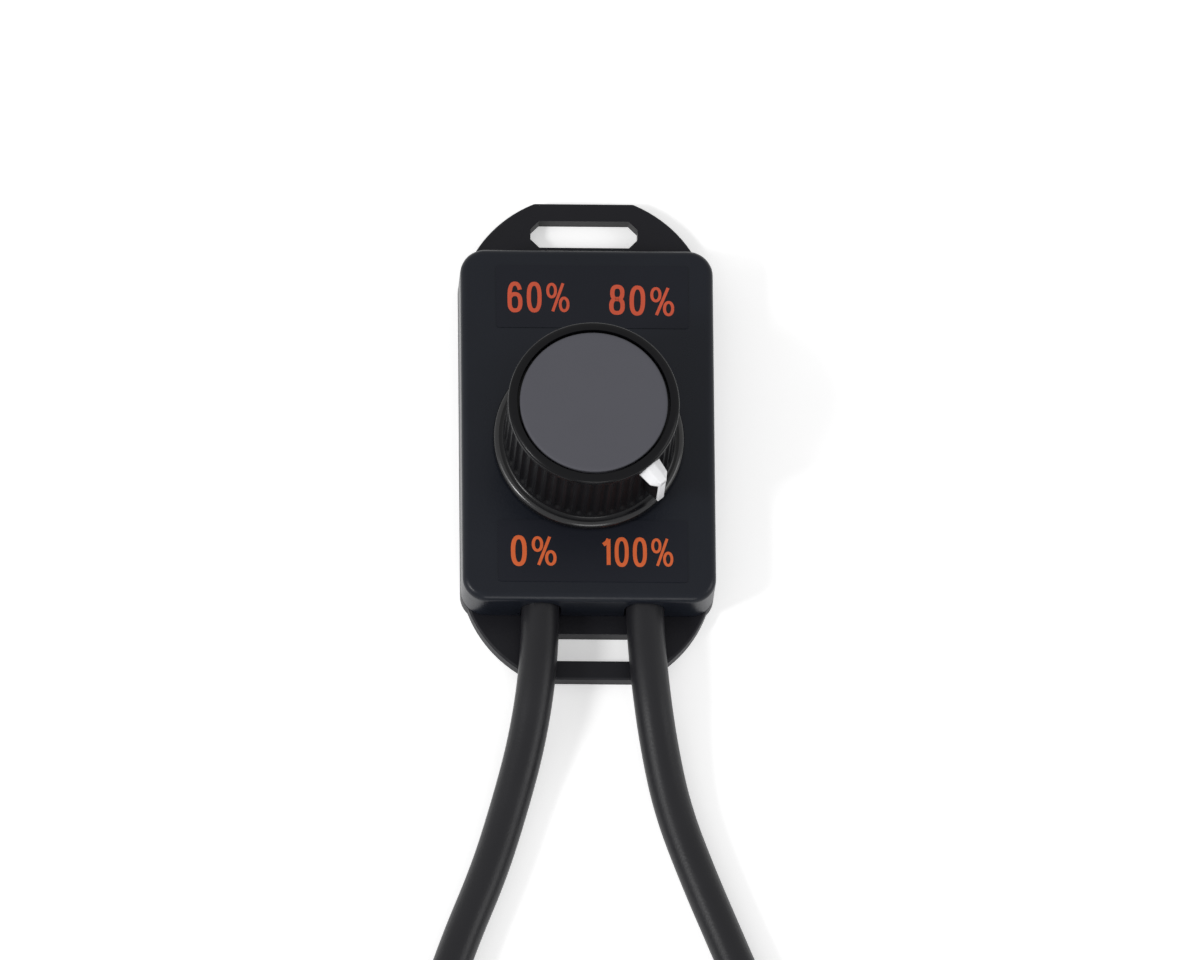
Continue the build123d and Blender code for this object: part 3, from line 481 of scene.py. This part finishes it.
for level, share in levels.items():
    for column, depth in across.items():
        def in_flute(vertex, middle):
            outside = math.hypot(middle.x, middle.y - knob_y) > 13.4
            return outside and abs(middle.z - level) < 0.02 and column_of(middle) == column

        count = pick(knob, "VERT", in_flute)
        ratio = 1 - depth * share / 13.5
        bpy.ops.transform.resize(value=(ratio, ratio, 1), center_override=(0, knob_y * MM, level * MM))
print("points in the last column", count)
pick(knob, "FACE", lambda face, middle: True)
bpy.ops.mesh.normals_make_consistent(inside=False)

# %% [markdown]
# ## Fin of the pointer
# On the real knob the white pointer has something black behind it: a small fin of the same moulding,
# which slopes back to the grip at its foot. It could be drawn out of the grip's own faces, but they are
# fluted, so a separate block joined to the knob is cleaner. Everything for the pointer is shaped on the
# +X side, where a rule on x is simple, and is then swung round to the end of the scale.

# %% Turn about the knob's axis
pointer_angle = -49.0
flute_pitch = 360 / flute_count


def swing(piece, degrees):
    """Turn the whole mesh about the knob's axis, anticlockwise seen from above."""
    pick(piece, "FACE", lambda face, middle: True)
    bpy.ops.transform.rotate(
        value=math.radians(-degrees), orient_axis="Z", center_override=(0, knob_y * MM, 20 * MM)
    )


flute_phase = (pointer_angle + flute_pitch / 2) % flute_pitch
swing(knob, flute_phase)
print("flutes turned by", round(flute_phase, 2), "degrees, so that a rib meets the pointer")

# %% Fin
grip_core = 12.7
nose_radius = 16.65
head_width, shoulder_width, line_width = 4.2, 3.5, 1.3
nose_low, nose_high = 18.2, 26.2
fin_slope = 1.4


def block(name, inner, outer, width, low, high):
    """A block on the +X side, between two distances from the knob's axis and two heights."""
    return fresh(
        bpy.ops.mesh.primitive_cube_add, name, size=1.0,
        scale=((outer - inner) * MM, width * MM, (high - low) * MM),
        location=((inner + outer) / 2 * MM, knob_y * MM, (low + high) / 2 * MM),
    )


fin = block("fin", grip_core, nose_radius - 0.25, line_width - 0.04, nose_low, nose_high)
pick(fin, "EDGE", lambda edge, middle: middle.x < 13 and middle.z < 19)
bpy.ops.transform.translate(value=(0, 0, -fin_slope * MM))
pick(fin, "EDGE", lambda edge, middle: middle.x > 13)
bpy.ops.mesh.bevel(offset=0.12 * MM, segments=2, affect="EDGES")
swing(fin, pointer_angle)
bpy.ops.object.mode_set(mode="OBJECT")
bpy.ops.object.select_all(action="DESELECT")
fin.select_set(True)
knob.select_set(True)
bpy.context.view_layer.objects.active = knob
bpy.ops.object.join()
finished(knob, knob_finish, "knob_plastic", "knob", "knob_body", angle=40)

# %% [markdown]
# ## Cap
# The cap is a separate grey disc, let into the rim with a thin dark groove round it. A plain cylinder
# would pass from afar, but its sharp edge would catch no light. So the upper edge is bevelled, and two
# insets let the face sink a hair in the middle, as on any moulded disc that has cooled.

# %% Cap
cap_radius, cap_thickness, cap_middle = 11.65, 1.6, 27.4
cap = fresh(
    bpy.ops.mesh.primitive_cylinder_add, "cap",
    vertices=160, radius=cap_radius * MM, depth=cap_thickness * MM,
    location=(0, knob_y * MM, cap_middle * MM),
)
pick(cap, "FACE", lambda face, middle: face.normal.z > 0.9)
bpy.ops.mesh.region_to_loop()
bpy.ops.mesh.bevel(offset=0.3 * MM, segments=4, affect="EDGES")
pick(cap, "FACE", lambda face, middle: len(face.verts) > 100 and middle.z > 28)
bpy.ops.mesh.inset(thickness=0.5 * MM)
bpy.ops.mesh.inset(thickness=1.5 * MM, depth=-0.02 * MM)
finished(cap, cap_finish, "cap_plastic", "knob", "knob_cap", angle=30)

# %% [markdown]
# ## Pointer
# A white pointer lies on the fin: a shield with a flat ridge, which slopes out from the rim and narrows,
# and a band as wide as the ridge down the nose. Its facets could be typed in point by point. Drawing
# them out of a block says better how they hang together: the top face is drawn up into the ridge, and
# the end faces are drawn out into the nose and narrowed there.

# %% Pointer head
shoulder_radius, roof = 15.55, 1.0
drops = ((15, 16, 0.75), (16, 17, 1.1))
middle_line = (0, knob_y * MM, 0)
pointer = block("pointer", grip_core, shoulder_radius, head_width, 26.0, 26.5)
pick(pointer, "FACE", lambda face, middle: face.normal.z > 0.9)
bpy.ops.mesh.extrude_region_move(TRANSFORM_OT_translate={"value": (0, 0, roof * MM)})
bpy.ops.transform.resize(value=(1, line_width / head_width, 1), center_override=middle_line)
pick(pointer, "FACE", lambda face, middle: face.normal.x > 0.9)
reach = (nose_radius - shoulder_radius) * MM
bpy.ops.mesh.extrude_region_move(TRANSFORM_OT_translate={"value": (reach, 0, 0)})


def side_point(low, high):
    """A rule that chooses the outer side points between two distances from the axis."""
    return lambda vertex, middle: low < middle.x < high and abs(middle.y - knob_y) > 0.9


pick(pointer, "VERT", side_point(15, 16))
bpy.ops.transform.resize(value=(1, shoulder_width / head_width, 1), center_override=middle_line)
pick(pointer, "VERT", side_point(16, 17))
bpy.ops.transform.resize(value=(1, line_width / head_width, 1), center_override=middle_line)
for low, high, drop in drops:
    count = pick(pointer, "VERT", lambda vertex, middle: low < middle.x < high)
    bpy.ops.transform.translate(value=(0, 0, -drop * MM))
    print("points let down by", drop, "mm:", count)

# %% Pointer band
band_thickness = 0.5
band = block("band", nose_radius - band_thickness, nose_radius, line_width, nose_low, nose_high)
pointer.select_set(True)
bpy.context.view_layer.objects.active = pointer
bpy.ops.object.join()
pick(pointer, "EDGE", lambda edge, middle: middle.x > 13.2)
bpy.ops.mesh.bevel(offset=0.14 * MM, segments=3, affect="EDGES")
swing(pointer, pointer_angle)
where = sum((v.co for v in bmesh.from_edit_mesh(pointer.data).verts), Vector())
print("pointer stands on the right and near side:", where.x > 0 and where.y < 0)
finished(pointer, pointer_finish, "pointer_plastic", "knob", "knob_pointer", angle=30)

# %% [markdown]
# ## Figures
# The scale is printed in bold condensed figures. Blender's own text object is the usual way, but its one
# built-in typeface is too wide and too even for this print. So each sign is a few strokes of a round
# pen, as a sign writer would draw it: a squared oval for the nought, two for the eight, a bowl and a stem
# for the six. The strokes are curves with a round bevel, made a mesh and pressed flat on the label.

# %% Strokes of each sign
def oval(x, y, wide, high, start=0.0, stop=360.0, square=2.5):
    """Points on a squared oval round x and y, or on part of it, anticlockwise from the right."""
    points = []
    for step in range(29):
        angle = math.radians(start + (stop - start) * step / 28)
        shares = [math.cos(angle), math.sin(angle)]
        across, up_by = [math.copysign(abs(share) ** (2 / square), share) for share in shares]
        points.append((x + wide / 2 * across, y + high / 2 * up_by))
    return points


# %% Signs
bold, light_pen = 1.0, 0.7
signs = {
    "0": (1.65, [(bold, oval(0.82, 2.1, 1.65, 4.2))]),
    "1": (0.85, [(bold, [(0.85, 0.0), (0.85, 4.2)]), (bold, [(0.85, 4.2), (0.55, 3.65), (0.0, 3.25)])]),
    "6": (1.65, [(bold, oval(0.82, 2.1, 1.65, 4.2, 28, 180) + oval(0.82, 1.28, 1.65, 2.56, 180, 505))]),
    "8": (1.65, [(bold, oval(0.82, 3.2, 1.45, 2.0)), (bold, oval(0.82, 1.12, 1.65, 2.24))]),
    "%": (3.0, [(light_pen, oval(0.55, 3.15, 1.2, 2.0, square=2.1)),
                (light_pen, oval(2.45, 1.0, 1.2, 2.0, square=2.1)),
                (light_pen, [(0.7, -0.1), (2.3, 4.3)])]),
}
print("signs", " ".join(signs))

# %% Rows of signs
pen_radius, gap = 0.32, 1.3
flatness, print_height = 0.03, 10.325


def written(name, words):
    """A row of signs as one curve, in millimetres, from the origin to the right."""
    data = bpy.data.curves.new(name, "CURVE")
    data.dimensions = "3D"
    data.bevel_depth = pen_radius
    data.bevel_resolution = 2
    data.use_fill_caps = True
    x = 0.0
    for sign in words:
        width, strokes = signs[sign]
        for pen, points in strokes:
            spline = data.splines.new("POLY")
            spline.points.add(len(points) - 1)
            for point, (along, height) in zip(spline.points, points):
                point.co = (x + along, height, 0.0, 1.0)
                point.radius = pen
        x += width + gap
    row = bpy.data.objects.new(name, data)
    scene.collection.objects.link(row)
    return row


def printed(name, words, left, right_edge, low, high, tilt, finish):
    """A row of signs as one thin mesh that fills a box on the label."""
    figure = written(name, words)
    if bpy.context.mode != "OBJECT":
        bpy.ops.object.mode_set(mode="OBJECT")
    bpy.ops.object.select_all(action="DESELECT")
    figure.select_set(True)
    bpy.context.view_layer.objects.active = figure
    bpy.ops.object.convert(target="MESH")
    figure = bpy.context.object
    xs = [v.co.x for v in figure.data.vertices]
    ys = [v.co.y for v in figure.data.vertices]
    wide, tall = max(xs) - min(xs), max(ys) - min(ys)
    fit = Matrix.Diagonal(((right_edge - left) / wide, (high - low) / tall, flatness, 1.0))
    middle = Vector(((min(xs) + max(xs)) / 2, (min(ys) + max(ys)) / 2, 0))
    there = Vector(((left + right_edge) / 2, (low + high) / 2, print_height))
    turned = Matrix.Rotation(math.radians(tilt), 4, "Z")
    figure.data.transform(
        Matrix.Scale(MM, 4) @ Matrix.Translation(there) @ turned @ fit @ Matrix.Translation(-middle)
    )
    return finished(figure, finish, "label_film", "enclosure")


# %% Ink and figures
def ink(name, color):
    """Printed ink: one even colour with a faint mottle, a little glossier than the film."""
    finish = Finish(name)
    mottle = finish.noise(700.0, 2.0)
    dark = tuple(0.86 * c for c in color[:3]) + (1.0,)
    finish.shader.inputs["Specular IOR Level"].default_value = 0.3
    return finish.set(Base_Color=finish.mix(mottle, dark, color), Roughness=0.45 + 0.1 * mottle)


upper_ink = ink("upper_ink", linear(200, 82, 54))
lower_ink = ink("lower_ink", linear(206, 95, 48))
printed("figure_60", "60%", -12.6, -2.8, 18.6, 23.8, 0.0, upper_ink)
printed("figure_80", "80%", 3.5, 13.8, 18.2, 23.3, -1.8, upper_ink)
printed("figure_0", "0%", -12.4, -5.2, -24.0, -18.8, 0.0, lower_ink)
printed("figure_100", "100%", 2.0, 13.2, -24.0, -19.0, 0.0, lower_ink)

# %% [markdown]
# ## Metal
# Screws, the shaft and the brass insert are turned or drawn, which leaves fine streaks that run one way.
# Even metal would look like grey paint. Noise that is squeezed along one axis makes such streaks, and
# they change the colour, the roughness and the bump together, as on the real surface.

# %% Metal
def plated(name, dark, light, gloss, stretch):
    """Bare or plated metal, whose scratches are drawn out across the stretched direction."""
    finish = Finish(name)
    streaks = finish.noise(600.0, 4.0, stretch)
    return finish.set(
        Base_Color=finish.mix(streaks, dark, light),
        Metallic=1.0,
        Roughness=gloss + 0.2 * (streaks - 0.5),
        Normal=finish.bump(streaks, 0.15, 0.00002),
    )


steel = plated("bright_metal", linear(140, 141, 145), linear(185, 186, 190), 0.34, (1, 1, 8))
turned_steel = plated("turned_metal", linear(150, 150, 153), linear(190, 190, 194), 0.28, (1, 1, 30))
brass = plated("brass", linear(178, 140, 78), linear(214, 178, 104), 0.32, (1, 1, 20))
tin = plated("tin", linear(170, 170, 172), linear(205, 205, 206), 0.3, (6, 1, 1))
print("metals", [metal.name for metal in (steel, turned_steel, brass, tin)])

# %% [markdown]
# ## Parts with legs
# The chip, the transistor, the capacitor and the resistors each have a coated body and tinned legs, but
# are one solid each in the model. Their faces could be given two materials by hand. A rule on the place
# does it in one: it says where the metal is, and the coloured bands of a resistor are rules as well.

# %% Bodies with legs
def part_metal(name, body, is_metal, *bands):
    """A lacquered or moulded body with tinned metal where the rule says, and bands of other colours."""
    finish = Finish(name)
    mask = is_metal(finish)
    grain = finish.noise(1500.0)
    color = finish.mix(grain, tuple(0.75 * c for c in body[:3]) + (1.0,), body)
    for band, band_color in bands:
        color = finish.mix(band(finish), color, band_color)
    tin = finish.mix(grain, linear(168, 168, 170), linear(200, 200, 202))
    return finish.set(
        Base_Color=finish.mix(mask, color, tin),
        Metallic=mask,
        Roughness=0.5 - 0.22 * mask + 0.1 * (grain - 0.5),
        Normal=finish.bump(grain, 0.2, 0.00003),
    )


def beyond(axis, middle, half):
    """A rule: further than half from the middle, along one axis."""
    return lambda finish: (getattr(finish, axis) - middle).math("ABSOLUTE") > half


def stripe(axis, middle, half):
    """A rule: within half of the middle, along one axis."""
    return lambda finish: half - (getattr(finish, axis) - middle).math("ABSOLUTE") > 0.0


# %% [markdown]
# ## Board, track and wires
# Inside lie a green board with its tracks, the potentiometer's carbon ring and red and black wires. None
# of it shows while the box is shut, so a brick pattern stretched into long rows is enough for the tracks,
# and the ring is one rule on the distance from the knob's axis.

# %% Other plastics
black_moulding = moulded("moulded_black", linear(24, 24, 26), linear(36, 36, 38), 0.5, 0.5, 0.3)
pot_finish = moulded("pot_plastic", linear(30, 52, 96), linear(40, 66, 116), 0.42, 0.3, 0.4)
tie_finish = moulded("tie", linear(22, 22, 24), linear(34, 34, 36), 0.4, 0.8, 0.3)
print("plastics inside", black_moulding.name, pot_finish.name, tie_finish.name)

# %% Board
board_finish = Finish("board")
layout = {
    "Vector": board_finish.place, "Scale": 420.0, "Brick Width": 2.6, "Row Height": 0.42,
    "Mortar Size": 0.06, "Mortar Smooth": 0.2,
}
tracks = board_finish.node("ShaderNodeTexBrick", {}, layout, "Fac")
weave = board_finish.noise(2200.0)
lacquer = board_finish.mix(weave, linear(14, 62, 36), linear(20, 80, 46))
board_finish.set(
    Base_Color=board_finish.mix(tracks, lacquer, linear(34, 104, 58)),
    Roughness=0.3 + 0.15 * weave,
    Normal=board_finish.bump(tracks + 0.2 * weave, 0.4, 0.00004),
)
print("board nodes", len(board_finish.tree.nodes))

# %% Carbon track
track_finish = Finish("track")
ring = (track_finish.away(0.0, knob_y) > 2.5) * (3.9 - track_finish.away(0.0, knob_y) > 0.0)
speckle = track_finish.noise(1800.0)
laminate = track_finish.mix(speckle, linear(120, 88, 52), linear(146, 108, 66))
track_finish.set(
    Base_Color=track_finish.mix(ring, laminate, linear(30, 30, 32)),
    Roughness=0.6 - 0.2 * ring,
    Normal=track_finish.bump(speckle, 0.2, 0.00003),
)
print("track nodes", len(track_finish.tree.nodes))


# %% Wires
def insulated(name, is_black):
    """Two cores in one finish: red, and black where the rule says."""
    finish = Finish(name)
    grain = finish.noise(1200.0)
    red = finish.mix(grain, linear(150, 30, 28), linear(186, 42, 38))
    black = finish.mix(grain, linear(24, 24, 26), linear(38, 38, 40))
    return finish.set(
        Base_Color=finish.mix(is_black(finish), red, black),
        Roughness=0.42 + 0.14 * (grain - 0.5),
        Normal=finish.bump(grain, 0.25, 0.00004),
    )


# %% [markdown]
# ## Finishes of the solids
# Where a solid's shape is already right it stays, and only its finish is set. That could be done piece by
# piece in the material tab. A table from name to finish shows at a glance that no piece was forgotten.

# %% Finish the solids
finishes = {
    "front_housing": housing_finish, "back_plate": plate_finish, "knob_body": knob_finish,
    "knob_cap": cap_finish, "knob_pointer": pointer_finish, "upper_label": label_finish,
    "lower_label": label_finish, "input_cable": jacket_finish, "output_cable": jacket_finish,
    "input_cable_coil": jacket_finish, "output_cable_coil": jacket_finish,
    "knob_insert": brass, "pot_wiper": brass, "pot_shaft": turned_steel, "pot_cover": turned_steel,
    "pot_washer": steel, "pot_nut": steel, "housing_screws": steel, "clamp_screws": steel,
    "pot_terminals": tin, "core_ferrules": tin, "pot_case": pot_finish, "pot_rotor": black_moulding,
    "cable_clamp": black_moulding, "coil_tie": tie_finish, "circuit_board": board_finish.material,
    "pot_track": track_finish.material,
    "control_chip": part_metal("chip", linear(34, 34, 36), beyond("x", -8.0, 1.97)),
    "power_transistor": part_metal("transistor", linear(30, 30, 32), beyond("y", -4.0, 3.07)),
    "smoothing_capacitor": part_metal(
        "capacitor", linear(28, 34, 60), lambda finish: 8.97 - finish.y > 0.0,
        (stripe("x", 7.4, 0.5), linear(190, 192, 198)),
    ),
    "resistors": part_metal(
        "resistor", linear(196, 172, 128), beyond("y", -4.0, 2.99),
        (stripe("y", -6.2, 0.25), linear(92, 46, 24)), (stripe("y", -5.2, 0.25), linear(26, 24, 24)),
        (stripe("y", -4.2, 0.25), linear(170, 34, 26)), (stripe("y", -2.2, 0.25), linear(190, 148, 60)),
    ),
    "input_wires": insulated("input_insulation", lambda finish: finish.x > -7.5),
    "output_wires": insulated("output_insulation", lambda finish: 8.8 - finish.x > 0.0),
    "input_cores": insulated(
        "input_core_insulation", lambda finish: finish.away(*coil_middle) > coil_radius
    ),
    "output_cores": insulated(
        "output_core_insulation", lambda finish: finish.away(*coil_middle) > coil_radius
    ),
}
for name, node in nodes.items():
    for index in range(len(node.material_slots)):
        node.material_slots[index].link = "OBJECT"
        node.material_slots[index].material = finishes[name]
print("finishes", len(finishes), "for", len(nodes), "solids")
